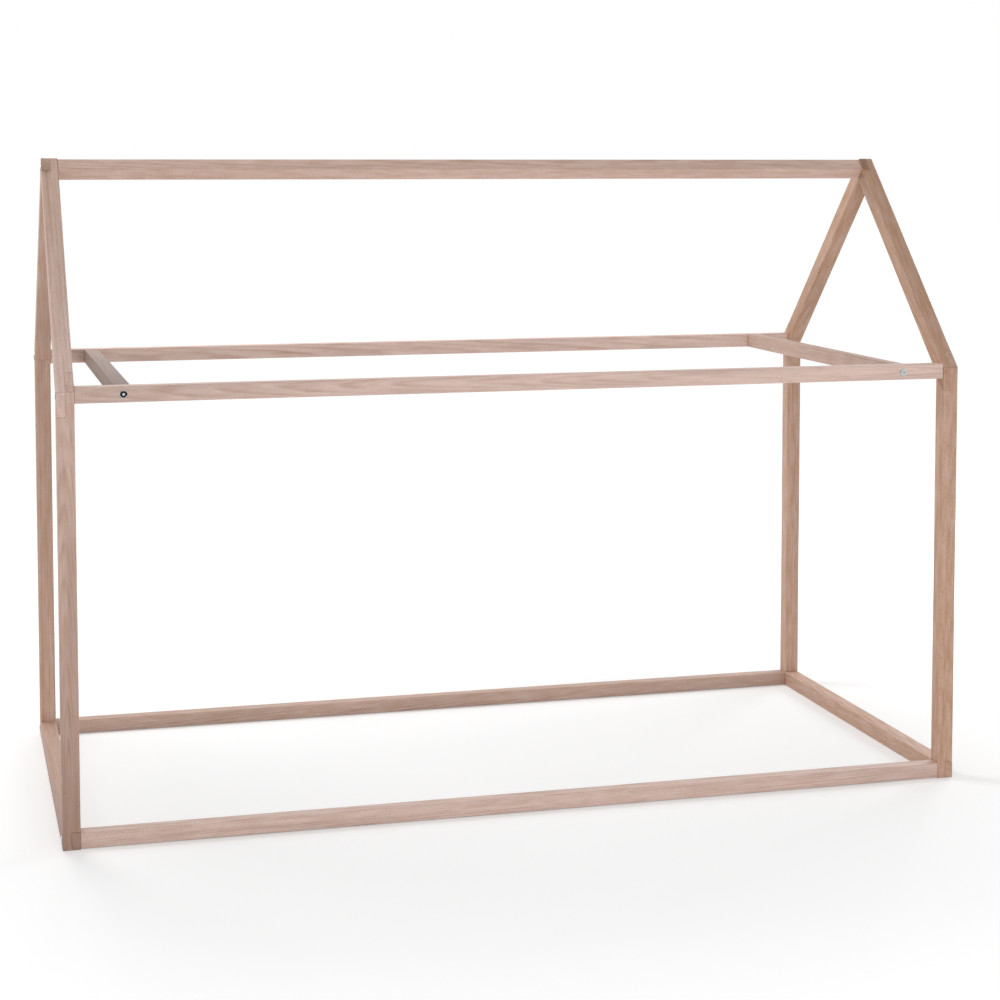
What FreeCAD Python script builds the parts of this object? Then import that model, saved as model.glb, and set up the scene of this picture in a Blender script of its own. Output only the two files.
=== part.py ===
"""A child's bed frame in the outline of a house, made of square beech bars.

Each end of the house is a flat frame of five bars: two posts, two rafters and an end rail, half-lapped
into one another. Five long rails join the two ends, one at every lap joint: two on the floor, two at
the eaves and the ridge. Two short cross rails tie the eave rails together. One bed bolt goes through the
middle of each lap and into the end of its rail, where it draws on a square nut in a mortise, so the bolt
clamps the lap and the rail at once. The mattress lies on the floor inside the frame.

X runs along the bed, Y from front to rear and Z up. The origin is on the floor, at the middle.
Lengths are in millimetres and angles in degrees.
"""

import FreeCAD, Part
import math
import os

from FreeCAD import Placement, Rotation, Vector

# Overall sizes, to the outside of the wood
length = 2080.0              # outer face to outer face of the two house-shaped ends
depth = 980.0                # front face to rear face of the posts
eave_height = 982.0          # where a post's outer face bends into the roof
roof_angle = 45.0            # slope of the roof

# Bars
end_bar = 38.0               # side of the square bars of the two ends
rail_bar = 35.0              # side of the square bars of all rails between them
edge_chamfer = 1.5           # on a bar's long edges
apex_end_proud = 2.5         # how far a rafter's top end stands out of the roof's other slope
cross_rail_from_end = 140.0  # outer face of an end to the middle of the cross rail beside it

# Bed bolts with a wide flat head and a hexagon socket
end_bolt_length = 75.0       # under the head, for the bolts through the ends
cross_bolt_length = 70.0     # under the head, for the bolts through the eave rails
bolt_diameter = 6.0
bolt_hole_clearance = 1.0    # on the diameter, in the wood
head_diameter = 17.0
head_height = 2.5
socket_across_flats = 4.0
socket_depth = 2.0

# Their square nuts, each in a mortise that is open to one side of its rail
nut_side = 10.0
nut_thickness = 5.0
nut_thread_clearance = 0.1   # on the diameter, round the bolt
bolt_past_nut = 3.0
mortise_length = 12.0        # along the rail: room to drop the nut in
mortise_side_clearance = 0.4 # on the nut's side, so small that the nut can't turn
mortise_end_clearance = 1.0  # past the nut, at the blind end

RIDGE_TURN = 45.0            # the ridge stands on its corner, with its mortises in the lower rear side
HALF_TURN = 180.0
QUARTER_TURN = 90.0
X_AXIS = Vector(1, 0, 0)
Y_AXIS = Vector(0, 1, 0)
Z_AXIS = Vector(0, 0, 1)

# Places in the left end, seen along +X
slope = math.radians(roof_angle)
x_outer = -length / 2
x_middle = x_outer + end_bar / 2
x_inner = x_outer + end_bar
y_front = -depth / 2
y_post_inside = y_front + end_bar
apex_height = eave_height + depth / 2 * math.tan(slope)
rafter_drop = end_bar / math.cos(slope)   # height of a rafter, measured straight down
sweep = length + depth + eave_height      # longer than any bar: the reach of a saw cut


def cylinder_along_x(diameter, x_start, x_end):
    return Part.makeCylinder(diameter / 2, x_end - x_start, Vector(x_start, 0, 0), X_AXIS)


def half_turned(shape, about_x=0.0):
    """The shape turned half round about an upright line through (about_x, 0)."""
    turned = shape.copy()
    turned.rotate(Vector(about_x, 0, 0), Z_AXIS, HALF_TURN)
    return turned


def placed(shape, placement):
    moved = shape.copy()
    moved.Placement = placement.multiply(moved.Placement)
    return moved


def eased_bar(side, span):
    """A square bar along X, centred on the origin, with its four long edges taken off."""
    bar = Part.makeBox(span, side, side, Vector(-span / 2, -side / 2, -side / 2))
    long_edges = [edge for edge in bar.Edges if abs(edge.tangentAt(edge.FirstParameter).x) > 0.5]
    return bar.makeChamfer(edge_chamfer, long_edges)


def sawn_off(y, z, angle, x_start, x_end):
    """The waste of a saw cut: all above a plane through (y, z), which rises to the rear by angle."""
    waste = Part.makeBox(x_end - x_start, 2 * sweep, sweep, Vector(x_start, -sweep, 0))
    return placed(waste, Placement(Vector(0, y, z), Rotation(X_AXIS, angle)))


# The bars of the left end. Every joint is a half-lap: one bar keeps its outer half, the other its inner half.


def front_post():
    """Stands on the floor with its outer half and reaches the roof's outer face with its inner half."""
    top = eave_height + end_bar * math.tan(slope)
    middle = Vector(x_middle, y_front + end_bar / 2, top / 2)
    bar = placed(eased_bar(end_bar, top), Placement(middle, Rotation(Y_AXIS, QUARTER_TURN)))
    over_the_roof = sawn_off(y_front, eave_height, roof_angle, x_outer - 1, x_inner + 1)
    for_the_rafter = sawn_off(y_front, eave_height - rafter_drop, roof_angle, x_outer - 1, x_middle)
    for_the_end_rail = sawn_off(y_front, end_bar, HALF_TURN, x_middle, x_inner + 1)
    return bar.cut([over_the_roof, for_the_rafter, for_the_end_rail])


def front_rafter():
    """Runs from the post's front face, in its outer half, to the roof's rear slope, in its inner half."""
    bar = eased_bar(end_bar, (depth / 2 + 2 * rafter_drop) / math.cos(slope))
    middle = Vector(x_middle, y_front / 2, (eave_height + apex_height - rafter_drop) / 2)
    up_the_roof = Rotation(X_AXIS, roof_angle).multiply(Rotation(Z_AXIS, QUARTER_TURN))
    bar = placed(bar, Placement(middle, up_the_roof))
    before_the_post = sawn_off(y_front, 0, QUARTER_TURN, x_outer - 1, x_middle)
    for_the_post = sawn_off(y_post_inside, 0, QUARTER_TURN, x_middle, x_inner + 1)
    proud_drop = apex_end_proud / math.cos(slope)
    over_the_roof = sawn_off(0, apex_height + proud_drop, -roof_angle, x_middle, x_inner + 1)
    for_the_rear_rafter = sawn_off(0, apex_height - rafter_drop, -roof_angle, x_outer - 1, x_middle)
    return bar.cut([before_the_post, for_the_post, over_the_roof, for_the_rear_rafter])


def end_rail():
    """Lies on the floor. Its inner half reaches the front face, and its outer half the rear face."""
    middle = Vector(x_middle, 0, end_bar / 2)
    bar = placed(eased_bar(end_bar, depth), Placement(middle, Rotation(Z_AXIS, QUARTER_TURN)))
    for_the_front_post = sawn_off(y_post_inside, 0, QUARTER_TURN, x_outer - 1, x_middle)
    for_the_rear_post = half_turned(for_the_front_post, x_middle)
    return bar.cut([for_the_front_post, for_the_rear_post])


# Bolts and nuts, each on the X axis of the rail that it holds


def bolt(bolt_length):
    """The head's underside is at x = 0 and the shank runs to +X."""
    head = cylinder_along_x(head_diameter, -head_height, 0)
    shank = cylinder_along_x(bolt_diameter, -head_height / 2, bolt_length)
    corner = Vector(-head_height, socket_across_flats / math.sqrt(3), 0)
    hexagon = [Rotation(X_AXIS, 60 * side).multVec(corner) for side in range(7)]
    socket = Part.Face(Part.makePolygon(hexagon)).extrude(Vector(socket_depth, 0, 0))
    return head.fuse(shank).removeSplitter().cut(socket)


def square_nut():
    """The face that the bolt draws against the mortise is at x = 0."""
    blank = Part.makeBox(nut_thickness, nut_side, nut_side, Vector(0, -nut_side / 2, -nut_side / 2))
    return blank.cut(cylinder_along_x(bolt_diameter + nut_thread_clearance, -1, nut_thickness + 1))


def mortise():
    """Open to the rail's underside. The wall that the nut bears on is at x = 0."""
    width = nut_side + mortise_side_clearance
    reach = rail_bar + nut_side / 2 + mortise_end_clearance
    return Part.makeBox(mortise_length, width, reach, Vector(0, -width / 2, -rail_bar))


# Rails. Each is made along X and centred on the origin, then placed, with all that sits in its two ends.


class Rail:
    """A rail between two faces that stand span apart, each on a carrying bar that is carrier thick."""

    def __init__(self, span, carrier, bolt_length, placement):
        self.span = span
        self.carrier = carrier
        self.bolt_length = bolt_length
        self.placement = placement
        nut_inset = bolt_length - carrier - bolt_past_nut - nut_thickness
        self.nut_place = Placement(Vector(nut_inset, 0, 0), Rotation())

    def at_both_ends(self, end_piece):
        """A piece that is placed from the rail's left end face, and the same at its right end."""
        left = placed(end_piece, Placement(Vector(-self.span / 2, 0, 0), Rotation()))
        return [placed(piece, self.placement) for piece in (left, half_turned(left))]

    def holes(self):
        """What is taken out of the rail and out of the bars that carry it."""
        hole_diameter = bolt_diameter + bolt_hole_clearance
        bolt_hole = cylinder_along_x(hole_diameter, -self.carrier - 1, self.bolt_length - self.carrier)
        return self.at_both_ends(bolt_hole) + self.at_both_ends(placed(mortise(), self.nut_place))

    def wood(self):
        return placed(eased_bar(rail_bar, self.span), self.placement).cut(self.holes())

    def bolts(self):
        on_the_carrier = Placement(Vector(-self.carrier, 0, 0), Rotation())
        return self.at_both_ends(placed(bolt(self.bolt_length), on_the_carrier))

    def nuts(self):
        return self.at_both_ends(placed(square_nut(), self.nut_place))


def long_rail(y, z, turn=0.0):
    """A rail from end to end of the house, centred on the lap joint at (y, z)."""
    placement = Placement(Vector(0, y, z), Rotation(X_AXIS, turn))
    return Rail(length - 2 * end_bar, end_bar, end_bolt_length, placement)


def cross_rail(x):
    """A rail from eave rail to eave rail, centred on them."""
    placement = Placement(Vector(x, 0, eave_lap_height), Rotation(Z_AXIS, QUARTER_TURN))
    return Rail(depth - end_bar - rail_bar, rail_bar, cross_bolt_length, placement)


y_lap = y_front + end_bar / 2
floor_lap_height = end_bar / 2
eave_lap_height = eave_height + end_bar / 2 * math.tan(slope) - rafter_drop / 2
ridge_height = apex_height - rail_bar / math.sqrt(2)
x_cross = x_outer + cross_rail_from_end

long_rails = {
    "front_bottom_rail": long_rail(y_lap, floor_lap_height),
    "rear_bottom_rail": long_rail(-y_lap, floor_lap_height),
    "front_eave_rail": long_rail(y_lap, eave_lap_height),
    "rear_eave_rail": long_rail(-y_lap, eave_lap_height),
    "ridge_rail": long_rail(0, ridge_height, RIDGE_TURN),
}
cross_rails = {
    "left_cross_rail": cross_rail(x_cross),
    "right_cross_rail": cross_rail(-x_cross),
}

end_holes = [hole for rail in long_rails.values() for hole in rail.holes()]
cross_holes = [hole for rail in cross_rails.values() for hole in rail.holes()]

left_end = {
    "front_post": front_post(),
    "rear_post": half_turned(front_post(), x_middle),
    "front_rafter": front_rafter(),
    "rear_rafter": half_turned(front_rafter(), x_middle),
    "end_rail": end_rail(),
}
left_end = {name: bar.cut(end_holes) for name, bar in left_end.items()}

# The right end is the left one, turned half round, so its front bars are the left end's rear bars.
right_end = {
    "front_post": half_turned(left_end["rear_post"]),
    "rear_post": half_turned(left_end["front_post"]),
    "front_rafter": half_turned(left_end["rear_rafter"]),
    "rear_rafter": half_turned(left_end["front_rafter"]),
    "end_rail": half_turned(left_end["end_rail"]),
}

parts = {}
for name, bar in left_end.items():
    parts["left_" + name] = bar
for name, bar in right_end.items():
    parts["right_" + name] = bar
for name, rail in long_rails.items():
    parts[name] = rail.wood().cut(cross_holes)
for name, rail in cross_rails.items():
    parts[name] = rail.wood()
for name, rail in {**long_rails, **cross_rails}.items():
    parts[name + "_nuts"] = Part.makeCompound(rail.nuts())

# Bolts are grouped by the face that their heads show on.
end_bolts = [rail.bolts() for rail in long_rails.values()]
cross_bolts = [rail.bolts() for rail in cross_rails.values()]
parts["left_end_bolts"] = Part.makeCompound([pair[0] for pair in end_bolts])
parts["right_end_bolts"] = Part.makeCompound([pair[1] for pair in end_bolts])
parts["front_eave_bolts"] = Part.makeCompound([pair[0] for pair in cross_bolts])
parts["rear_eave_bolts"] = Part.makeCompound([pair[1] for pair in cross_bolts])

os.makedirs("parts", exist_ok=True)
for name, shape in parts.items():
    shape.exportStep("parts/" + name + ".step")
    print(f"{name:26s} {len(shape.Solids)} solids {shape.Volume / 1000:9.1f} cm3 valid {shape.isValid()}")
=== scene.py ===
# %% [markdown]
# # A house frame bed in beech
#
# This is a child's bed frame in the outline of a house. Its 17 square bars of beech are planed, sanded and
# left bare. At each end, two posts, two rafters and a rail are half-lapped into one flat frame, and long
# rails bolted on from outside join the two ends.
#
# The construction is ready: every bar, bolt and nut comes in as a plain mesh at its real size and place.
# What is left is what the eye wants: softened edges, wood that looks sawn from a log, bright bolts, soft
# light and a white floor. Lengths are in metres, as Blender counts them.

# %% Load the construction
import math
import random

import bmesh
import bpy
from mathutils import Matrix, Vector


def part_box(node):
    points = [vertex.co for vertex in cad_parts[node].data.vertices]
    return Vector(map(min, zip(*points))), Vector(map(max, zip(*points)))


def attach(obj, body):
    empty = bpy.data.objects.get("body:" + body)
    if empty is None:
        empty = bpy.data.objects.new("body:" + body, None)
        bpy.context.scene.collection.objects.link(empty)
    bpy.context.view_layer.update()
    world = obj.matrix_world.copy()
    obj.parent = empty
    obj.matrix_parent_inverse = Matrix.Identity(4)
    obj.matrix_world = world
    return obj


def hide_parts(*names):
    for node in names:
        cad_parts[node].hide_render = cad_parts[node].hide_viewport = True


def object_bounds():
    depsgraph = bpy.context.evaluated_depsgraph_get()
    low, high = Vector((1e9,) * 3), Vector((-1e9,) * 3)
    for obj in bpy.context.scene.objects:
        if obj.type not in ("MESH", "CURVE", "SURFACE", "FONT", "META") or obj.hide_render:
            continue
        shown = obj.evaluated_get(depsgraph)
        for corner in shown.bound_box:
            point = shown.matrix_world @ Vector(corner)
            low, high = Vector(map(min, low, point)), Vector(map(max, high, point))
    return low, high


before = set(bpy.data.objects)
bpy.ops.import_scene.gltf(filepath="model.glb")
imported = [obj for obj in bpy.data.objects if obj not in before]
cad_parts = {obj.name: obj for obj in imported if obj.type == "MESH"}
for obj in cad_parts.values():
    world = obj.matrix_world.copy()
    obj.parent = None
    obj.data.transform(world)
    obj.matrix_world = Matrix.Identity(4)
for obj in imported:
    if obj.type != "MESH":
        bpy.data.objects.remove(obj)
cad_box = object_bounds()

MM = 0.001
size = cad_box[1] - cad_box[0]
print(f"{len(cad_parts)} nodes, {size.x:.3f} x {size.y:.3f} x {size.z:.3f} m")

# %% [markdown]
# ## Colours
#
# A colour is easiest to pick as the hex value that a screen shows. A shader counts light, so it wants the
# linear value, which is much lower in the dark half. One function turns the first into the second, and no
# colour goes into a material another way.

# %% Screen colour to light
def linear(hex_colour):
    """The linear RGBA value of an sRGB hex colour such as "#D2B9AA"."""
    channels = [int(hex_colour[i:i + 2], 16) / 255 for i in (1, 3, 5)]
    light = [c / 12.92 if c <= 0.04045 else ((c + 0.055) / 1.055) ** 2.4 for c in channels]
    return (*light, 1.0)


print("middle grey is", round(linear("#808080")[0], 3))

# %% [markdown]
# ## Nodes in one line each
#
# Materials and Geometry Nodes are both graphs. Building a graph in a script is mostly "add this node, with
# this setting, fed by that socket", so one small function does just that. A value that is itself a socket
# becomes a link, and anything else is typed into the socket. A socket goes by its name, or by its number
# where a node has several of one name: a Math node has 0 and 1, and a Mix node's colours are 6 and 7.

# %% Add a node
def add_node(tree, kind, values=None, **settings):
    """Adds a node. Settings are its properties, and values are its inputs by name or by number."""
    made = tree.nodes.new(kind)
    for name, setting in settings.items():
        setattr(made, name, setting)
    for key, value in (values or {}).items():
        if isinstance(value, bpy.types.NodeSocket):
            tree.links.new(value, made.inputs[key])
        else:
            made.inputs[key].default_value = value
    return made


def new_material(name):
    """An empty material and its node tree."""
    material = bpy.data.materials.new(name)
    material.use_nodes = True
    material.node_tree.nodes.clear()
    return material, material.node_tree


# %% [markdown]
# ## Beech, sawn, planed and sanded
#
# Beech is a pale wood with a pink cast. What the eye reads on it is the log that the bar came from: yearly
# rings that show as long arches where the saw ran along a ring, and as fine straight lines where it cut
# across; thin vessel lines along the fibres; short ray flecks; and slow drifts from pale sapwood to tan or
# brown heart. Cut ends show the rings as arcs and drink in more light, so they look darker.
#
# A picture of wood on each face would break at every edge. Here the rings are solid: each point of a bar
# knows where it lay in its log, as the attribute `log` in millimetres, with x along the fibres and the pith
# at y = z = 0. The pattern is worked out from that, so arches on a face run into lines on the next and into
# arcs on the end. A second attribute, `tone`, says how brown, golden or grey the wood is there, and a third,
# `cut_end_and_groove_shade`, how much of a cut end shows, with the painted shade of the joints' grooves on
# its rounded edges.

# %% Colours of beech
PALE = linear("#EFD5CA")        # sapwood, light with a pink cast
BROWN = linear("#8C6B5B")       # red heart, duller
GOLD = linear("#BE9372")        # heart, warmer
GREY = linear("#786A61")        # wood that has silvered
LATE_WOOD = linear("#C9AE9C")   # the dense line that closes each ring
VESSELS = linear("#B79A88")     # fine open tubes, in shade inside
RAYS = linear("#D9895A")        # orange where the saw opened a ray
# the end-grain colour also tints the painted shade in the joints' grooves
END_GRAIN_AND_GROOVE_SHADE = linear("#9C8374")   # cut fibres, which drink in light

# %% Sizes of the figure, in millimetres
# Three numbers are a size along the fibres and two sizes across them.
RING_WIDTH = 4.2                # beech has 2 to 3, drawn coarser so that the arches show
RING_WANDER = 5.0               # how far a ring strays from round
WANDER_SIZE = (420.0, 30.0, 30.0)
YEARS_SIZE = (900.0, 9.0, 9.0)  # two rings or so, which are strong or faint together
DRIFT_SIZE = (450.0, 18.0, 18.0)
MOTTLE_SIZE = (60.0, 10.0, 10.0)
VESSEL_SIZE = (90.0, 1.4, 1.4)  # real vessels are 0.1 wide, drawn as coarse as shows
FIBRE_SIZE = (25.0, 0.5, 0.5)   # real fibres are 0.02 wide, drawn coarser too
RAY_SIZE = (6.0, 1.2, 14.0)     # along the fibres, round the log and out from the pith, drawn twice as large
TYPICAL_RADIUS = 55.0           # from the pith, where a ray has that width
RELIEF = 0.04                   # what sanding leaves between soft and hard wood

# %% [markdown]
# ### The log under each point
#
# Most patterns without a picture start from noise, a cloudy value that changes from place to place. Laid on
# a face, it would have to be lined up bar by bar. Taken in the log and divided by a size that is long one
# way and short across, the same noise turns into streaks that run with the fibres of every bar.

# %% The log under each point
beech, wood = new_material("beech planed sanded")
log = add_node(wood, "ShaderNodeAttribute", attribute_name="log").outputs["Vector"]
tone = add_node(wood, "ShaderNodeAttribute", attribute_name="tone").outputs["Vector"]
share_of = add_node(wood, "ShaderNodeSeparateXYZ", {"Vector": tone}).outputs
# this attribute carries the cut ends and the painted shade of the joints' grooves
cut_end_and_groove_shade = add_node(wood, "ShaderNodeAttribute", attribute_name="cut_end_and_groove_shade").outputs["Fac"]


def figure(pattern_size, detail=2.0):
    """Noise from 0 to 1 in the log, whose features have that size in mm: along, across and across."""
    scaled = add_node(wood, "ShaderNodeVectorMath", {0: log, 1: pattern_size}, operation="DIVIDE").outputs[0]
    noise = add_node(wood, "ShaderNodeTexNoise", {"Vector": scaled, "Scale": 1.0, "Detail": detail})
    return noise.outputs["Fac"]


print("the figure is worked out in the log, in mm")

# %% [markdown]
# ### Yearly rings
#
# Each year a beech adds a ring that ends in a thin dense line. A Wave texture draws rings too, but all alike
# and perfectly round. Here the distance from the pith strays a little, as trees do, and is counted in ring
# widths. What is left after the whole years says how far through its year the wood is, so a ramp can darken
# it slowly and end it quickly, and noise can make some years strong and others faint.

# %% Yearly rings
RING_SHADES = ((0.30, 0.1), (0.80, 1.0), (1.0, 0.0))    # how far through the year, and how dark
FAINTEST_YEAR = 0.15

off_the_pith = add_node(wood, "ShaderNodeVectorMath", {0: log, 1: (0, 1, 1)}, operation="MULTIPLY").outputs[0]
radius = add_node(wood, "ShaderNodeVectorMath", {0: off_the_pith}, operation="LENGTH").outputs["Value"]
strayed = add_node(wood, "ShaderNodeMath", {0: figure(WANDER_SIZE, 1.0), 1: RING_WANDER, 2: radius},
                   operation="MULTIPLY_ADD").outputs[0]
ring_count = add_node(wood, "ShaderNodeMath", {0: strayed, 1: RING_WIDTH}, operation="DIVIDE").outputs[0]
in_ring = add_node(wood, "ShaderNodeMath", {0: ring_count}, operation="FRACT").outputs[0]
late = add_node(wood, "ShaderNodeValToRGB", {"Fac": in_ring})
late.color_ramp.interpolation = "EASE"
late.color_ramp.elements.remove(late.color_ramp.elements[1])
for through_the_year, dark in RING_SHADES:
    late.color_ramp.elements.new(through_the_year).color = (dark, dark, dark, 1)
strong_year = add_node(wood, "ShaderNodeMapRange", {"Value": figure(YEARS_SIZE), "From Min": 0.35,
                                                    "From Max": 0.7, "To Min": FAINTEST_YEAR, "To Max": 1.0})
rings = add_node(wood, "ShaderNodeMath", {0: late.outputs["Color"], 1: strong_year.outputs[0]},
                 operation="MULTIPLY").outputs[0]
print("late wood closes each", RING_WIDTH, "mm ring, stronger in some years")

# %% [markdown]
# ### Ray flecks
#
# A ray is a thin upright ribbon that runs out from the pith. A face that is sawn along it shows it as a
# flake across the bar, and a face that cuts it shows a short dash. Dashes painted on would look alike on
# every face. Cells laid round the log, narrow round it and deep outwards, show the one or the other as the
# saw happens to find them.

# %% Ray flecks
FLECK_CORE = 0.15               # share of a cell within which the fleck has its full colour
FLECK_EDGE = 0.42               # and beyond which there is none

in_log = add_node(wood, "ShaderNodeSeparateXYZ", {"Vector": log}).outputs
bearing = add_node(wood, "ShaderNodeMath", {0: in_log["Z"], 1: in_log["Y"]}, operation="ARCTAN2").outputs[0]
around = add_node(wood, "ShaderNodeMath", {0: bearing, 1: TYPICAL_RADIUS}, operation="MULTIPLY").outputs[0]
round_the_log = add_node(wood, "ShaderNodeCombineXYZ", {"X": in_log["X"], "Y": around, "Z": radius})
in_rays = add_node(wood, "ShaderNodeVectorMath", {0: round_the_log.outputs[0], 1: RAY_SIZE},
                   operation="DIVIDE").outputs[0]
cells = add_node(wood, "ShaderNodeTexVoronoi", {"Vector": in_rays, "Scale": 1.0})
flecks = add_node(wood, "ShaderNodeMapRange", {
    "Value": cells.outputs["Distance"], "From Min": FLECK_CORE, "From Max": FLECK_EDGE,
    "To Min": 1.0, "To Max": 0.0}).outputs[0]
print("ray flecks are", RAY_SIZE[0], "mm long and", RAY_SIZE[1], "mm wide")

# %% [markdown]
# ### Colour
#
# Wood in one flat colour looks like plastic. So the pale sapwood is first mixed with brown, gold and grey,
# each by the share that the tone gives and by a slow drift of its own. Then each pattern multiplies its tint
# in, because a dark line in wood takes light away from whatever colour lies there.

# %% Sapwood to heart
colour = PALE
for share, target, patch_size, reach in (
    (share_of["X"], BROWN, DRIFT_SIZE, 0.08),
    (share_of["Y"], GOLD, MOTTLE_SIZE, 0.16),
    (share_of["Z"], GREY, DRIFT_SIZE, 0.04),
):
    drift = add_node(wood, "ShaderNodeMapRange", {"Value": figure(patch_size, 3.0), "From Min": 0.35,
                                                  "From Max": 0.65, "To Min": -reach, "To Max": reach})
    amount = add_node(wood, "ShaderNodeMath", {0: share, 1: drift.outputs[0]}, operation="ADD",
                      use_clamp=True)
    mixed = add_node(wood, "ShaderNodeMix", {0: amount.outputs[0], 6: colour, 7: target}, data_type="RGBA")
    colour = mixed.outputs[2]
print("mottles of", MOTTLE_SIZE[0], "mm, drifts of", DRIFT_SIZE[0], "mm")

# %% Patterns over it
LAYERS = (                      # each pattern, its strength and the colour that it multiplies in
    (rings, 0.50, LATE_WOOD),
    (figure(VESSEL_SIZE), 0.12, VESSELS),
    (figure(FIBRE_SIZE), 0.08, VESSELS),
    (flecks, 0.30, RAYS),
    # the last layer darkens cut ends and paints the joints' groove shade on their rounded edges
    (cut_end_and_groove_shade, 1.0, END_GRAIN_AND_GROOVE_SHADE),
)
for pattern, strength, tint in LAYERS:
    amount = add_node(wood, "ShaderNodeMath", {0: pattern, 1: strength}, operation="MULTIPLY").outputs[0]
    mixed = add_node(wood, "ShaderNodeMix", {0: amount, 6: colour, 7: tint}, data_type="RGBA",
                     blend_type="MULTIPLY")
    colour = mixed.outputs[2]
print(len(LAYERS), "patterns")

# %% [markdown]
# ### Finish
#
# Sanded and left bare, beech is matt: light sinks in a little between the fibres and comes back soft. An even
# roughness would shine like varnish at a low angle, so the roughness follows the vessels, and a bump of a few
# hundredths of a millimetre, higher on late wood and fibres, breaks up what gloss is left.

# %% Finish of the wood
SMOOTHEST = 0.50
ROUGHEST = 0.66

roughness = add_node(wood, "ShaderNodeMapRange", {"Value": figure(VESSEL_SIZE), "To Min": SMOOTHEST,
                                                  "To Max": ROUGHEST}).outputs[0]
relief = add_node(wood, "ShaderNodeMath", {0: rings, 1: figure(FIBRE_SIZE)}, operation="ADD").outputs[0]
bump = add_node(wood, "ShaderNodeBump", {"Strength": 0.5, "Distance": RELIEF * MM, "Height": relief})
surface = add_node(wood, "ShaderNodeBsdfPrincipled", {
    "Base Color": colour, "Roughness": roughness, "IOR": 1.5, "Specular IOR Level": 0.75,
    "Normal": bump.outputs[0]})
add_node(wood, "ShaderNodeOutputMaterial", {"Surface": surface.outputs[0]})
print(beech.name, "has", len(wood.nodes), "nodes")

# %% [markdown]
# ## The bars
#
# A bar is as strong as its fibres, so they always run along it: up the posts, up each slope of the roof and
# along the rails. The wood's pattern has to follow. A direction could be read from each mesh's longest side,
# but a rafter lies at 45 degrees and its box is square, so the directions are written down.

# %% Which way each bar's fibres run
ALONG_X = Vector((1, 0, 0))
ALONG_Y = Vector((0, 1, 0))
ALONG_Z = Vector((0, 0, 1))
UP_THE_FRONT = Vector((0, 1, 1)).normalized()
UP_THE_REAR = Vector((0, -1, 1)).normalized()

bars = {}
for side in ("left", "right"):
    bars[side + "_front_post"] = ALONG_Z
    bars[side + "_rear_post"] = ALONG_Z
    bars[side + "_front_rafter"] = UP_THE_FRONT
    bars[side + "_rear_rafter"] = UP_THE_REAR
    bars[side + "_end_rail"] = ALONG_Y
    bars[side + "_cross_rail"] = ALONG_Y
for name in ("front_bottom", "rear_bottom", "front_eave", "rear_eave", "ridge"):
    bars[name + "_rail"] = ALONG_X
print(len(bars), "bars")

# %% [markdown]
# ### Tones of the boards
#
# No two bars come from the same board, and one colour of wood on all of them would look like a toy. Chance
# could pick each bar's tone, but on the real bed the right end is golden and the front rails are pale, so
# the tones are listed. A tone gives its shares of brown, gold and grey. Each bar runs from one tone
# at its low end to another at its high end, and for a bar across the bed the low end is the front.

# %% Tones of beech, as shares of brown, gold and grey
SAPWOOD = (0.0, 0.0, 0.0)
WEATHERED_SAPWOOD = (0.0, 0.1, 0.15)
CREAM = (0.0, 0.3, 0.0)
OATMEAL = (0.0, 0.4, 0.25)
HONEY = (0.0, 0.65, 0.0)
DEEP_HONEY = (0.05, 0.8, 0.0)
TAN = (0.3, 0.5, 0.0)
ORANGE_HEART = (0.3, 0.8, 0.0)
RED_HEART = (0.7, 0.2, 0.1)
# dark heart, made darker still to paint in the shade that falls on the left cross rail
DARK_HEART_AND_PAINTED_SHADE = (1.0, 0.0, 0.5)

# %% Tones of each bar, at its low end and at its high end
TONES = {
    "front_bottom_rail": (WEATHERED_SAPWOOD, WEATHERED_SAPWOOD),
    "rear_bottom_rail": (OATMEAL, OATMEAL),
    "front_eave_rail": (WEATHERED_SAPWOOD, SAPWOOD),
    "rear_eave_rail": (WEATHERED_SAPWOOD, SAPWOOD),
    "ridge_rail": (CREAM, CREAM),
    # its dark tone is partly dark heart and partly painted shade
    "left_cross_rail": (DARK_HEART_AND_PAINTED_SHADE, DARK_HEART_AND_PAINTED_SHADE),
    "right_cross_rail": (OATMEAL, OATMEAL),
    # its darker front end is partly red heart and partly painted shade near the front corner
    "left_end_rail": (RED_HEART, TAN),
    "right_end_rail": (HONEY, HONEY),
    "left_front_post": (RED_HEART, CREAM),
    "left_rear_post": (TAN, TAN),
    "left_front_rafter": (SAPWOOD, TAN),
    "left_rear_rafter": (TAN, TAN),
    "right_front_post": (DEEP_HONEY, HONEY),
    "right_rear_post": (HONEY, HONEY),
    "right_front_rafter": (DEEP_HONEY, ORANGE_HEART),
    "right_rear_rafter": (DEEP_HONEY, DEEP_HONEY),
}
print(len(TONES), "bars have their tones")

# %% [markdown]
# ### Where in its log a bar was sawn
#
# A bar is cut from anywhere in the log, and never quite in line with it: it leans by a few hundredths, and so
# the rings run out of its faces in arches. Almost any place in the log looks right, so chance picks one for
# each bar, and always the same one, because the bar's name is the seed. Three bars in plain view are laid
# one by one, to have arches on the face that looks at the viewer.

# %% Where in its log a bar was sawn
PITH_NEAREST = 35.0             # mm from a bar's middle to the middle of its log
PITH_FARTHEST = 75.0
LEAN_MOST = 0.04
LOG_LENGTH = 4000               # mm
PITHS = {                       # mm sideways and upwards to the pith, and the lean towards it
    "front_eave_rail": (35.5, -4.0, -0.03),
    "left_front_post": (6.0, 38.0, 0.05),
    "right_front_post": (-55.0, 8.0, 0.01),
}


def pith_of(node):
    """Where the pith lies, seen along the bar, and how much the bar leans towards it."""
    if node in PITHS:
        sideways, upwards, lean = PITHS[node]
        return Vector((sideways, upwards)), lean
    chance = random.Random(node)
    bearing = chance.uniform(0, math.tau)
    far = chance.uniform(PITH_NEAREST, PITH_FARTHEST)
    lean = chance.uniform(-LEAN_MOST, LEAN_MOST)
    return far * Vector((math.cos(bearing), math.sin(bearing))), lean


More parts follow.
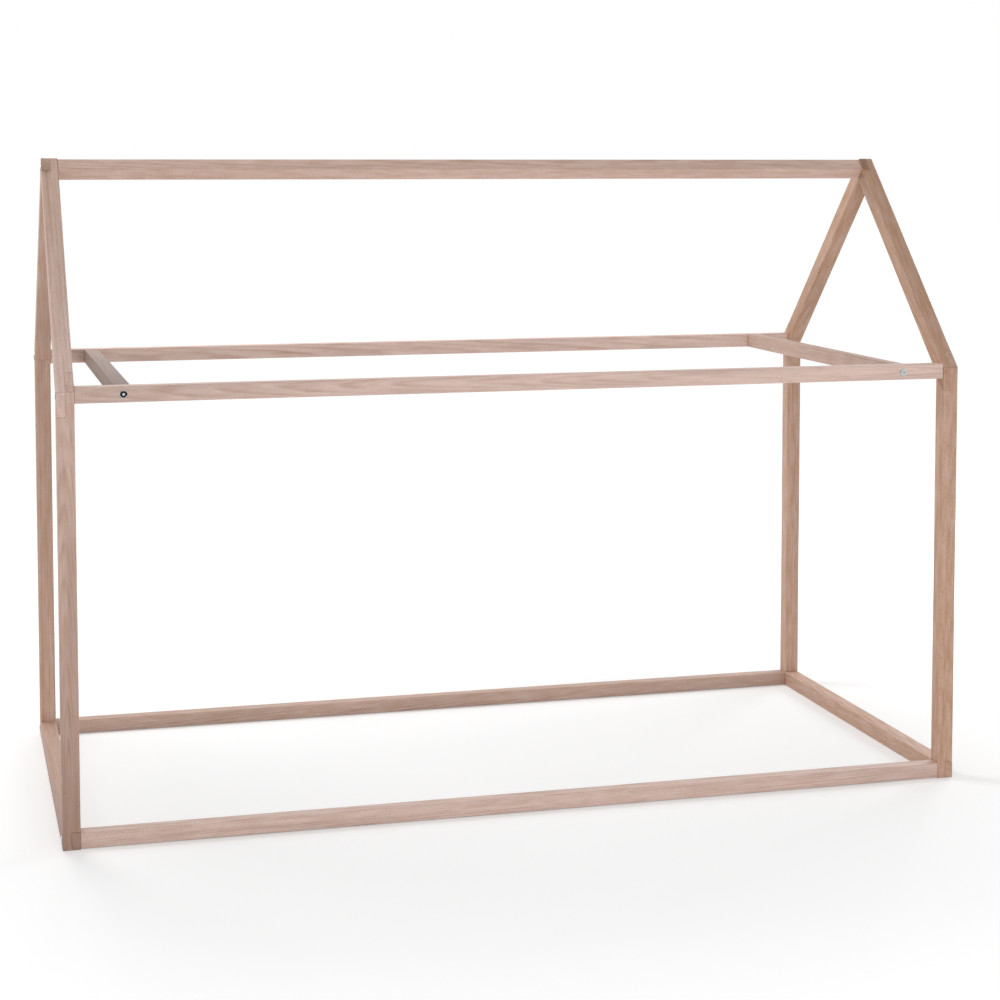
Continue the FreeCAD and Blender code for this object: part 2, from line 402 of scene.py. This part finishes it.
def lay_in_log(bar, node, along):
    """Writes down for each corner of the mesh its place in the log and its tone."""
    low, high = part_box(node)
    middle = (low + high) / 2
    half_length = (high - low).dot(Vector([abs(a) for a in along])) / 2
    sideways = ALONG_Y if along == ALONG_X else ALONG_X
    upwards = along.cross(sideways)
    pith, lean = pith_of(node)
    start = random.Random(node).uniform(0, LOG_LENGTH)
    tone_low, tone_high = (Vector(shares) for shares in TONES[node])
    log_places = bar.data.attributes.new("log", "FLOAT_VECTOR", "POINT")
    tones = bar.data.attributes.new("tone", "FLOAT_VECTOR", "POINT")
    for i, vertex in enumerate(bar.data.vertices):
        arm = (vertex.co - middle) / MM
        up_the_log = arm.dot(along)
        from_pith = pith + pith.normalized() * lean * up_the_log
        log_places.data[i].vector = (start + up_the_log, arm.dot(sideways) + from_pith.x,
                                     arm.dot(upwards) + from_pith.y)
        tones.data[i].vector = tone_low.lerp(tone_high, (up_the_log * MM / half_length + 1) / 2)


# %% [markdown]
# ### Rounded edges
#
# A sanding pad rounds every edge by half a millimetre or so, and where two bars meet flush, the two rounded
# edges leave the fine groove by which a half-lap is seen. Rounding edges by hand would take hours, and a
# subdivided mesh would go soft all over. A Bevel modifier that is limited by angle rounds just the edges, all
# by one width. It needs a whole mesh, and a bar comes in as loose triangles, so a copy is merged first.

# %% Round a bar's edges
EDGE_ROUND = 0.7 * MM
EDGE_STEPS = 3
SAME_CORNER = 0.01 * MM         # corners nearer than this are one
SAME_PLANE = math.radians(1)    # faces that meet at less than this are one
SHARP = math.radians(30)        # an edge sharper than this is rounded


def rounded_copy(node):
    """The bar as a merged mesh object with rounded edges."""
    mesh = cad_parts[node].data.copy()
    work = bmesh.new()
    work.from_mesh(mesh)
    bmesh.ops.remove_doubles(work, verts=work.verts, dist=SAME_CORNER)
    bmesh.ops.dissolve_limit(work, angle_limit=SAME_PLANE, verts=work.verts, edges=work.edges)
    for face in work.faces:
        face.smooth = True
    work.to_mesh(mesh)
    work.free()
    bar = bpy.data.objects.new(node + "_beech", mesh)
    bpy.context.scene.collection.objects.link(bar)
    bevel = bar.modifiers.new("rounded edges", "BEVEL")
    bevel.width = EDGE_ROUND
    bevel.segments = EDGE_STEPS
    bevel.limit_method = "ANGLE"
    bevel.angle_limit = SHARP
    bevel.use_clamp_overlap = False
    bevel.harden_normals = True
    evaluated = bar.evaluated_get(bpy.context.evaluated_depsgraph_get())
    bar.data = bpy.data.meshes.new_from_object(evaluated)
    bar.modifiers.clear()
    return bar


# %% [markdown]
# ### Cut ends, and painted shade in the joints
#
# Where the saw went across the fibres, the wood is full of open tubes, so it takes up dirt and oil and
# darkens. The rounded edge of a cut end is darkest: its pores are open, and the shade in the joint's groove
# is painted on it too. A second material on those faces would end in a hard line, so each face carries a
# number that the one material reads: 0 for a face along the fibres, the end's darkness for a face square
# across them, and a set darkness for a cut end's rounded edge, which adds the painted groove shade.

# %% Mark a bar's cut ends and the painted groove shade
END_DARKNESS = {"left_rear_rafter": 0.3, "right_rear_rafter": 0.65}     # their ends show at the ridge
OTHER_ENDS = 0.1
# a cut end's rounded edge: darker end grain, plus painted shade of the joint's groove
EDGE_DARKNESS_AND_GROOVE_SHADE = 0.5
EDGE_STRIP = 40 * MM ** 2       # a face smaller than this is part of a rounded edge
LOOKS_ALONG = 0.15              # and belongs to a cut end if it looks along the fibres by this much


def mark_cut_ends_and_groove_shade(bar, node, along):
    """Writes down for each face how much it shows of a cut end, with painted groove shade on a cut end's
    rounded edge.
    """
    darkness = END_DARKNESS.get(node, OTHER_ENDS)
    cut = bar.data.attributes.new("cut_end_and_groove_shade", "FLOAT", "FACE")
    for i, face in enumerate(bar.data.polygons):
        across = abs(face.normal.dot(along))
        at_the_edge = across > LOOKS_ALONG and face.area < EDGE_STRIP
        # a cut end's rounded edge gets end grain and the painted groove shade
        cut.data[i].value = EDGE_DARKNESS_AND_GROOVE_SHADE if at_the_edge else across ** 2 * darkness


# %% [markdown]
# ### Every bar
#
# All 17 bars get the same treatment, in a loop. Each finished bar takes the place of the plain one, and
# belongs to the bed as a whole, which has no moving parts.

# %% Dress every bar
def give_material(piece, material):
    piece.data.materials.clear()
    piece.data.materials.append(material)


for node, along in bars.items():
    bar = rounded_copy(node)
    lay_in_log(bar, node, along)
    mark_cut_ends_and_groove_shade(bar, node, along)
    give_material(bar, beech)
    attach(bar, "root")
    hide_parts(node)
    print(f"{bar.name:26s} {len(bar.data.polygons)} faces")

# %% [markdown]
# ## Bolts and nuts
#
# Each joint is pulled together by a bed bolt: a wide, flat head with a hexagon socket, and a long shank whose
# thread runs into a square nut that sits in the rail. Both are steel, plated with zinc.
#
# Zinc mirrors the room, bright and slightly blue, but softly: the plating has a fine grain that blurs what
# it shows. A plain mirror would look like glass, so noise of the grain's size moves the roughness up and
# down. The nuts are duller, as the cheaper plating on hidden parts is.

# %% Zinc-plated steel
ZINC = linear("#D2D5D9")
ZINC_GRAIN = 0.4 * MM           # finer on real plating, drawn as coarse as shows


def zinc_plated(name, smoothest, roughest):
    steel, tree = new_material(name)
    place = add_node(tree, "ShaderNodeTexCoord").outputs["Object"]
    grain = add_node(tree, "ShaderNodeTexNoise", {"Vector": place, "Scale": 1 / ZINC_GRAIN, "Detail": 3.0})
    roughness = add_node(tree, "ShaderNodeMapRange", {"Value": grain.outputs["Fac"], "To Min": smoothest,
                                                      "To Max": roughest}).outputs[0]
    plating = add_node(tree, "ShaderNodeBsdfPrincipled", {"Base Color": ZINC, "Metallic": 1.0,
                                                          "Roughness": roughness})
    add_node(tree, "ShaderNodeOutputMaterial", {"Surface": plating.outputs[0]})
    return steel


bolt_steel = zinc_plated("steel zinc plated bright", 0.14, 0.26)
nut_steel = zinc_plated("steel zinc plated dull", 0.30, 0.45)
print("two platings, with a grain of", ZINC_GRAIN / MM, "mm")

# %% [markdown]
# ### Round outside, six-sided inside
#
# The head is the only metal in sight, so it gets a rounded rim, an eased socket and the small cone that the
# drill left at the bottom. A hexagon could be cut out of a disc with a Boolean, which leaves long, thin
# faces. Here one rule makes it cleanly: a stack of rings with the same number of corners, each a circle or a
# polygon, and each joined to the next. The same rule makes the nut, as a closed loop of rings.

# %% A stack of rings
CORNERS = 48                    # a multiple of 6 and of 4, so that hexagons and squares keep their corners


def circle(diameter):
    """How far out a circle lies, which is the same at every angle."""
    return lambda angle: diameter / 2


def polygon(sides, across_flats):
    """How far out a polygon lies at each angle."""
    step = math.tau / sides
    return lambda angle: across_flats / 2 / math.cos(angle % step - step / 2)


def ring_stack(name, levels, closed=False):
    """A mesh object from (height, outline) pairs in mm, closed into a loop or by a face at each end."""
    work = bmesh.new()
    angles = [math.tau * corner / CORNERS for corner in range(CORNERS)]
    rows = []
    for height, outline in levels:
        corners = [(outline(a) * math.cos(a) * MM, outline(a) * math.sin(a) * MM, height * MM)
                   for a in angles]
        rows.append([work.verts.new(corner) for corner in corners])
    pairs = list(zip(rows, rows[1:]))
    if closed:
        pairs.append((rows[-1], rows[0]))
    for lower, upper in pairs:
        for i in range(CORNERS):
            j = (i + 1) % CORNERS
            work.faces.new((lower[i], lower[j], upper[j], upper[i]))
    if not closed:
        for row in (rows[0], rows[-1]):
            work.faces.new(row)
    bmesh.ops.recalc_face_normals(work, faces=work.faces)
    mesh = bpy.data.meshes.new(name)
    work.to_mesh(mesh)
    work.free()
    return bpy.data.objects.new(name, mesh)


# %% The head of a bolt, in millimetres
HEAD = 17.0                     # across
HEAD_HEIGHT = 2.5
SOCKET = 4.0                    # across its flats
SOCKET_FLOOR = 1.2

bolt_head = ring_stack("bolt_head", [
    (0.0, circle(HEAD - 0.6)),                  # the underside
    (0.3, circle(HEAD)),                        # the rim, rounded over in three steps
    (HEAD_HEIGHT - 1.1, circle(HEAD)),
    (HEAD_HEIGHT - 0.6, circle(HEAD - 0.3)),
    (HEAD_HEIGHT - 0.2, circle(HEAD - 1.1)),
    (HEAD_HEIGHT, circle(HEAD - 2.4)),          # the flat top
    (HEAD_HEIGHT, circle(SOCKET + 1.6)),        # the socket's mouth, eased
    (HEAD_HEIGHT - 0.45, polygon(6, SOCKET)),
    (SOCKET_FLOOR, polygon(6, SOCKET)),
    (SOCKET_FLOOR - 1.1, circle(0.3)),          # the drill's cone
])
print(len(bolt_head.data.polygons), "faces on a head")

# %% A nut, in millimetres
NUT = 10.0                      # side
NUT_HEIGHT = 5.0
BORE = 6.1
TRIMMED = 0.56                  # how far out its trimmed corners reach, of its side


def square_with_trimmed_corners(angle):
    return min(polygon(4, NUT)(angle), NUT * TRIMMED)


nut = ring_stack("nut", [
    (0.0, circle(BORE + 1)),
    (0.0, polygon(4, NUT)),
    (NUT_HEIGHT - 0.8, polygon(4, NUT)),
    (NUT_HEIGHT, square_with_trimmed_corners),
    (NUT_HEIGHT, circle(BORE + 1)),             # the bore, eased at both ends
    (NUT_HEIGHT - 0.5, circle(BORE)),
    (0.5, circle(BORE)),
], closed=True)
print(len(nut.data.polygons), "faces on a nut")

# %% [markdown]
# ### One at each place
#
# There are 14 bolts and 14 nuts. They could be copied one by one, but Geometry Nodes repeat a piece at any
# number of points, and a change to one tree changes them all. The points carry two directions, where the
# piece looks and which way its corner points, and the tree turns each copy to them. Copies are only
# references until Realize Instances makes them real, so both trees end with that.

# %% One object at each place
def geometry_tree(name, inputs):
    """A Geometry Nodes tree with the named inputs, and the sockets that they come in by."""
    tree = bpy.data.node_groups.new(name, "GeometryNodeTree")
    tree.interface.new_socket("Geometry", in_out="OUTPUT", socket_type="NodeSocketGeometry")
    for label, kind in [("Places", "NodeSocketGeometry"), *inputs]:
        tree.interface.new_socket(label, in_out="INPUT", socket_type=kind)
    return tree, add_node(tree, "NodeGroupInput").outputs


def facing(tree):
    """Turns the Z axis to the attribute outward, and then the X axis to the attribute upright."""
    outward = add_node(tree, "GeometryNodeInputNamedAttribute", {"Name": "outward"}, data_type="FLOAT_VECTOR")
    upright = add_node(tree, "GeometryNodeInputNamedAttribute", {"Name": "upright"}, data_type="FLOAT_VECTOR")
    first = add_node(tree, "FunctionNodeAlignRotationToVector", {"Vector": outward.outputs[0]}, axis="Z")
    second = add_node(tree, "FunctionNodeAlignRotationToVector",
                      {"Rotation": first.outputs[0], "Vector": upright.outputs[0]}, axis="X", pivot_axis="Z")
    return second.outputs[0]


def set_at_places(tree, given, piece, rotation):
    """Ends the tree: the piece at each place, as real geometry with its material."""
    copies = add_node(tree, "GeometryNodeInstanceOnPoints",
                      {"Points": given["Places"], "Instance": piece, "Rotation": rotation})
    real = add_node(tree, "GeometryNodeRealizeInstances", {"Geometry": copies.outputs[0]})
    steel = add_node(tree, "GeometryNodeSetMaterial",
                     {"Geometry": real.outputs[0], "Material": given["Steel"]})
    add_node(tree, "NodeGroupOutput", {0: steel.outputs[0]})


# %% [markdown]
# ### A bolt from its sizes
#
# A bolt follows a rule: a shank of one length and diameter, and a thread of one pitch near its tip. So the
# tree makes it from those sizes. The thread is a three-sided ridge drawn along a spiral, as a lathe cuts it.
# A fitter leaves each bolt as it comes tight, so every head is turned by its own random angle.

# %% Bolts: the shank
bolt_tree, given = geometry_tree("bed_bolts", [
    ("Head", "NodeSocketObject"),
    ("Shank Diameter", "NodeSocketFloat"),
    ("Shank Length", "NodeSocketFloat"),
    ("Thread Length", "NodeSocketFloat"),
    ("Thread Pitch", "NodeSocketFloat"),
    ("Seed", "NodeSocketInt"),
    ("Steel", "NodeSocketMaterial"),
])
SHANK_SIDES = 24
CORE_SHARE = 0.9                # the core under the thread, of the shank's radius

shank_radius = add_node(bolt_tree, "ShaderNodeMath", {0: given["Shank Diameter"], 1: 0.5},
                        operation="MULTIPLY").outputs[0]
core_radius = add_node(bolt_tree, "ShaderNodeMath", {0: shank_radius, 1: CORE_SHARE},
                       operation="MULTIPLY").outputs[0]
shank = add_node(bolt_tree, "GeometryNodeMeshCylinder",
                 {"Vertices": SHANK_SIDES, "Radius": core_radius, "Depth": given["Shank Length"]})
half_down = add_node(bolt_tree, "ShaderNodeMath", {0: given["Shank Length"], 1: -0.5}, operation="MULTIPLY")
down = add_node(bolt_tree, "ShaderNodeCombineXYZ", {"Z": half_down.outputs[0]})
lowered_shank = add_node(bolt_tree, "GeometryNodeTransform",
                         {"Geometry": shank.outputs["Mesh"], "Translation": down.outputs[0]})
print("a shank with", SHANK_SIDES, "sides")

# %% Bolts: the thread
STEPS_A_TURN = 16
RIDGE_SHARE = 0.45              # the ridge's radius, of the pitch

turns = add_node(bolt_tree, "ShaderNodeMath", {0: given["Thread Length"], 1: given["Thread Pitch"]},
                 operation="DIVIDE").outputs[0]
ridge_radius = add_node(bolt_tree, "ShaderNodeMath", {0: given["Thread Pitch"], 1: RIDGE_SHARE},
                        operation="MULTIPLY").outputs[0]
helix = add_node(bolt_tree, "GeometryNodeCurveSpiral", {
    "Resolution": STEPS_A_TURN, "Rotations": turns, "Start Radius": core_radius, "End Radius": core_radius,
    "Height": given["Thread Length"]})
ridge = add_node(bolt_tree, "GeometryNodeCurvePrimitiveCircle", {"Resolution": 3, "Radius": ridge_radius})
thread = add_node(bolt_tree, "GeometryNodeCurveToMesh", {
    "Curve": helix.outputs[0], "Profile Curve": ridge.outputs[0], "Fill Caps": True})
to_the_tip = add_node(bolt_tree, "ShaderNodeMath", {0: given["Shank Length"], 1: -1.0}, operation="MULTIPLY")
tip = add_node(bolt_tree, "ShaderNodeCombineXYZ", {"Z": to_the_tip.outputs[0]})
lowered_thread = add_node(bolt_tree, "GeometryNodeTransform",
                          {"Geometry": thread.outputs[0], "Translation": tip.outputs[0]})
print("a thread with", STEPS_A_TURN, "steps a turn")

# %% Bolts: the head and a random turn
head = add_node(bolt_tree, "GeometryNodeObjectInfo", {"Object": given["Head"]}).outputs["Geometry"]
whole = add_node(bolt_tree, "GeometryNodeJoinGeometry", {0: head})
bolt_tree.links.new(lowered_shank.outputs[0], whole.inputs[0])
bolt_tree.links.new(lowered_thread.outputs[0], whole.inputs[0])

angle = add_node(bolt_tree, "FunctionNodeRandomValue", {"Max": math.tau, "Seed": given["Seed"]},
                 data_type="FLOAT").outputs["Value"]
as_it_came = add_node(bolt_tree, "FunctionNodeAxisAngleToRotation", {"Axis": (0, 0, 1), "Angle": angle})
turned = add_node(bolt_tree, "FunctionNodeRotateRotation",
                  {"Rotation": facing(bolt_tree), "Rotate By": as_it_came.outputs[0]}, rotation_space="LOCAL")
set_at_places(bolt_tree, given, whole.outputs[0], turned.outputs[0])
print(bolt_tree.name, "has", len(bolt_tree.nodes), "nodes")

# %% Nuts: they can't turn in their mortises
nut_tree, given = geometry_tree("square_nuts", [("Nut", "NodeSocketObject"), ("Steel", "NodeSocketMaterial")])
one_nut = add_node(nut_tree, "GeometryNodeObjectInfo", {"Object": given["Nut"]}).outputs["Geometry"]
set_at_places(nut_tree, given, one_nut, facing(nut_tree))
print(nut_tree.name, "has", len(nut_tree.nodes), "nodes")


# %% [markdown]
# ### Where they sit
#
# The construction already has a plain bolt and nut in every joint, several of them in one node. Typing their
# places again would be one more thing to get wrong, so they are read from there: corners that hang together
# are one solid, and its box says where it sits and how long it is.

# %% Solids of a node
def solids_in(node):
    """The lowest and the highest corner of each separate solid in a node, in a fixed order."""
    work = bmesh.new()
    work.from_mesh(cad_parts[node].data)
    bmesh.ops.remove_doubles(work, verts=work.verts, dist=SAME_CORNER)
    boxes = []
    left = set(work.verts)
    while left:
        solid = {left.pop()}
        edge_of_search = list(solid)
        while edge_of_search:
            near = {e.other_vert(v) for v in edge_of_search for e in v.link_edges} - solid
            solid |= near
            edge_of_search = list(near)
        left -= solid
        boxes.append([Vector([pick(v.co[axis] for v in solid) for axis in range(3)]) for pick in (min, max)])
    work.free()
    return sorted(boxes, key=lambda box: tuple(box[0]))


# %% Points that carry directions, and a tree that runs on them
def places(name, points, outward, upright):
    """A mesh of loose points, each with the directions that its piece faces."""
    mesh = bpy.data.meshes.new(name)
    mesh.from_pydata(points, [], [])
    for label, directions in (("outward", outward), ("upright", upright)):
        attribute = mesh.attributes.new(label, "FLOAT_VECTOR", "POINT")
        for i, direction in enumerate(directions):
            attribute.data[i].vector = direction
    piece = bpy.data.objects.new(name, mesh)
    bpy.context.scene.collection.objects.link(piece)
    return piece


def grow(piece, tree, values):
    """Runs the tree on the piece, with its inputs by name, and keeps the result as a plain mesh."""
    modifier = piece.modifiers.new(tree.name, "NODES")
    modifier.node_group = tree
    for item in tree.interface.items_tree:
        if item.in_out == "INPUT" and item.name in values:
            modifier[item.identifier] = values[item.name]
    bpy.context.view_layer.update()
    evaluated = piece.evaluated_get(bpy.context.evaluated_depsgraph_get())
    piece.data = bpy.data.meshes.new_from_object(evaluated)
    piece.modifiers.clear()


# %% Set the bolts
SHANK = 6.0 * MM
THREAD_PITCH = 1.0 * MM
THREAD_LENGTH = 24.0 * MM
bolt_groups = {
    "left_end_bolts": -ALONG_X,
    "right_end_bolts": ALONG_X,
    "front_eave_bolts": -ALONG_Y,
    "rear_eave_bolts": ALONG_Y,
}
for seed, (node, outward) in enumerate(bolt_groups.items()):
    solids = solids_in(node)
    bolt_length = abs((solids[0][1] - solids[0][0]).dot(outward))   # alike within a node
    to_the_seat = bolt_length / 2 - HEAD_HEIGHT * MM
    points = [(low + high) / 2 + outward * to_the_seat for low, high in solids]
    bolts = places(node + "_steel", points, [outward] * len(points), [ALONG_Z] * len(points))
    grow(bolts, bolt_tree, {
        "Head": bolt_head, "Shank Diameter": SHANK, "Shank Length": bolt_length - HEAD_HEIGHT * MM,
        "Thread Length": THREAD_LENGTH, "Thread Pitch": THREAD_PITCH, "Seed": seed, "Steel": bolt_steel})
    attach(bolts, "root")
    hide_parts(node)
    print(f"{bolts.name:26s} {len(points)} bolts, {bolt_length / MM:.1f} mm long")

# %% Set the nuts
ON_ITS_CORNER = Vector((0, 1, 1))       # the ridge rail's mortises, turned as the rail is

for node in [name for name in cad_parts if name.endswith("_nuts")]:
    along = bars[node.removesuffix("_nuts")]
    upright = ON_ITS_CORNER if node == "ridge_rail_nuts" else ALONG_Z
    points = []
    inward = []
    for low, high in solids_in(node):
        middle = (low + high) / 2
        to_the_middle = -along if middle.dot(along) > 0 else along
        points.append(middle - to_the_middle * NUT_HEIGHT / 2 * MM)
        inward.append(to_the_middle)
    nuts = places(node + "_steel", points, inward, [upright] * len(points))
    grow(nuts, nut_tree, {"Nut": nut, "Steel": nut_steel})
    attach(nuts, "root")
    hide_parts(node)
    print(f"{nuts.name:30s} {len(points)} nuts, {len(nuts.data.polygons)} faces")

# %% [markdown]
# ## A white floor
#
# The bed stands in a bright studio, on a white floor that runs on without a corner and keeps the bed's soft
# shadow. Lamps strong enough to turn such a floor white would bleach the wood too. So the floor is painted a
# light grey, which takes light and shadow as they come, and the camera and mirrors see a little glow on top,
# more of it far off, where the lamps don't reach. No other ray sees the glow, so it puts no light on the bed.

# %% What the eye sees
def seen(tree):
    """1 for what the camera, a mirror or glass shows, and 0 for the light that falls on other things."""
    ray = add_node(tree, "ShaderNodeLightPath").outputs
    bare = add_node(tree, "ShaderNodeMath", {0: ray["Is Camera Ray"], 1: ray["Is Glossy Ray"]},
                    operation="MAXIMUM").outputs[0]
    return add_node(tree, "ShaderNodeMath", {0: bare, 1: ray["Is Transmission Ray"]},
                    operation="MAXIMUM").outputs[0]


def flat_sheet(name, corners, material):
    """A sheet between four corners."""
    mesh = bpy.data.meshes.new(name)
    mesh.from_pydata(corners, [], [(0, 1, 2, 3)])
    sheet = bpy.data.objects.new(name, mesh)
    bpy.context.scene.collection.objects.link(sheet)
    give_material(sheet, material)
    return sheet


# %% White floor
REACH = 40                      # m from the middle to each side
FLOOR_PAINT = linear("#E6E6E6")
LIFT_NEAR = 0.28                # glow beside the bed, where white is 1
LIFT_FAR = 0.65
NEAR = 0.9                      # m from the bed's middle
FAR = 3.0

floor_white, tree = new_material("white studio floor")
place = add_node(tree, "ShaderNodeTexCoord").outputs["Object"]
distance = add_node(tree, "ShaderNodeVectorMath", {0: place}, operation="LENGTH").outputs["Value"]
lift = add_node(tree, "ShaderNodeMapRange", {"Value": distance, "From Min": NEAR, "From Max": FAR,
                                             "To Min": LIFT_NEAR, "To Max": LIFT_FAR})
seen_lift = add_node(tree, "ShaderNodeMath", {0: lift.outputs[0], 1: seen(tree)}, operation="MULTIPLY")
paint = add_node(tree, "ShaderNodeBsdfDiffuse", {"Color": FLOOR_PAINT})
glow = add_node(tree, "ShaderNodeEmission", {"Color": (1, 1, 1, 1), "Strength": seen_lift.outputs[0]})
lifted = add_node(tree, "ShaderNodeAddShader", {0: paint.outputs[0], 1: glow.outputs[0]})
add_node(tree, "ShaderNodeOutputMaterial", {"Surface": lifted.outputs[0]})

floor_corners = [(-REACH, -REACH, 0), (REACH, -REACH, 0), (REACH, REACH, 0), (-REACH, REACH, 0)]
floor = flat_sheet("floor", floor_corners, floor_white)
print("floor of", 2 * REACH, "m each way")

# %% [markdown]
# ## White walls
#
# Beyond the floor there is only the world, which stands for the studio's walls. A camera or a mirror sees
# them as plain white, a strength of 1. As light on the bed that would be flat and too much, so for all other
# rays they shine half as strongly, and the lamps give the wood its light and dark sides.

# %% The studio's white walls
AMBIENT = 0.50

world = bpy.data.worlds.new("studio")
bpy.context.scene.world = world
world.use_nodes = True
world.node_tree.nodes.clear()
strength = add_node(world.node_tree, "ShaderNodeMapRange",
                    {"Value": seen(world.node_tree), "To Min": AMBIENT, "To Max": 1.0}).outputs[0]
walls = add_node(world.node_tree, "ShaderNodeBackground", {"Color": (1, 1, 1, 1), "Strength": strength})
add_node(world.node_tree, "ShaderNodeOutputWorld", {"Surface": walls.outputs[0]})
print("walls at strength", AMBIENT, "for light and 1 for the eye")

# %% [markdown]
# ## Lamps
#
# Large lamps give soft shadows with no edge, as a photographer's soft boxes do. The strongest stands low in
# front, so the bars' fronts are bright. Two behind make the tops shine and lay a faint shadow on the floor
# before the bed, and a weak one on the left fills in the ends. The front one is hidden from mirrors, because
# with it in them the bolt heads would be white discs.

# %% Soft boxes
def soft_box(name, place, aim, box_size, power):
    """A rectangular lamp, with its places and sides in metres and its power in watts."""
    lamp = bpy.data.lights.new(name, "AREA")
    lamp.shape = "RECTANGLE"
    lamp.size, lamp.size_y = box_size
    lamp.energy = power
    stand = bpy.data.objects.new(name, lamp)
    stand.location = place
    stand.rotation_euler = (Vector(aim) - Vector(place)).to_track_quat("-Z", "Y").to_euler()
    stand.visible_camera = False
    bpy.context.scene.collection.objects.link(stand)
    return stand


front = soft_box("low_front_soft_box", place=(0.3, -4.0, 0.3), aim=(0, 0, 0.7), box_size=(2.0, 0.6), power=44)
front.visible_glossy = False
soft_box("left_soft_box", place=(-4.0, -0.3, 1.6), aim=(0, 0, 0.7), box_size=(1.5, 1.5), power=15)
soft_box("rear_left_soft_box", place=(-1.2, 1.2, 2.6), aim=(0.6, 0, 0.5), box_size=(1.2, 1.2), power=31)
soft_box("rear_right_soft_box", place=(3.2, 1.8, 1.8), aim=(0, 0, 0.5), box_size=(1.5, 1.5), power=38)
print(len(bpy.data.lights), "lamps")

# %% [markdown]
# ## A black cloth
#
# Bright metal has no colour of its own, and in a white room it turns white and is lost. Photographers hang
# something dark where the metal mirrors it. Here a black cloth stands before the bed, seen by mirrors alone,
# so it takes no light from the wood. It gives the bolt head on the left its dark ring round a light socket,
# and it ends where the head on the right mirrors its edge and the white room beyond, and so looks grey.

# %% A black cloth before the bed
CLOTH_LEFT = -3.0
CLOTH_RIGHT = 2.05
CLOTH_Y = -3.2
CLOTH_TOP = 2.2

black, tree = new_material("black cloth")
cloth = add_node(tree, "ShaderNodeBsdfDiffuse", {"Color": linear("#0C0C0C")})
add_node(tree, "ShaderNodeOutputMaterial", {"Surface": cloth.outputs[0]})
cloth_corners = [(CLOTH_LEFT, CLOTH_Y, 0), (CLOTH_RIGHT, CLOTH_Y, 0),
                 (CLOTH_RIGHT, CLOTH_Y, CLOTH_TOP), (CLOTH_LEFT, CLOTH_Y, CLOTH_TOP)]
black_cloth = flat_sheet("black_cloth", cloth_corners, black)
for kind_of_ray in ("camera", "diffuse", "transmission", "volume_scatter", "shadow"):
    setattr(black_cloth, "visible_" + kind_of_ray, False)
print("cloth of", CLOTH_RIGHT - CLOTH_LEFT, "by", CLOTH_TOP, "m")

# %% [markdown]
# ## Camera
#
# The viewer stands in front, left of the middle, about 5 metres from the bed and as high as its ridge. A
# camera that simply looked at the bed would tip down by 8 degrees, and the posts would lean. A view camera
# keeps level and slides its lens instead, which Blender calls shift. This one does a little of both: 4
# degrees of tip, which lean the posts by a hair, and a shift for the rest.

# %% Camera
LENS = 76.63                    # mm
SENSOR = 36                     # mm
TIP_DOWN = 4.0                  # degrees
TURN_RIGHT = 15.34
SHIFT_LEFT = 0.0167             # of the picture's width
SHIFT_DOWN = 0.1871

camera_data = bpy.data.cameras.new("camera")
camera_data.lens = LENS
camera_data.sensor_width = SENSOR
camera_data.shift_x = -SHIFT_LEFT
camera_data.shift_y = -SHIFT_DOWN
camera = bpy.data.objects.new("camera", camera_data)
camera.location = (-1.283, -5.029, 1.460)
camera.rotation_euler = (math.radians(90 - TIP_DOWN), 0, math.radians(-TURN_RIGHT))
bpy.context.scene.collection.objects.link(camera)
bpy.context.scene.camera = camera
bpy.context.scene.view_settings.view_transform = "Standard"
print("camera at", [round(metres, 3) for metres in camera.location])
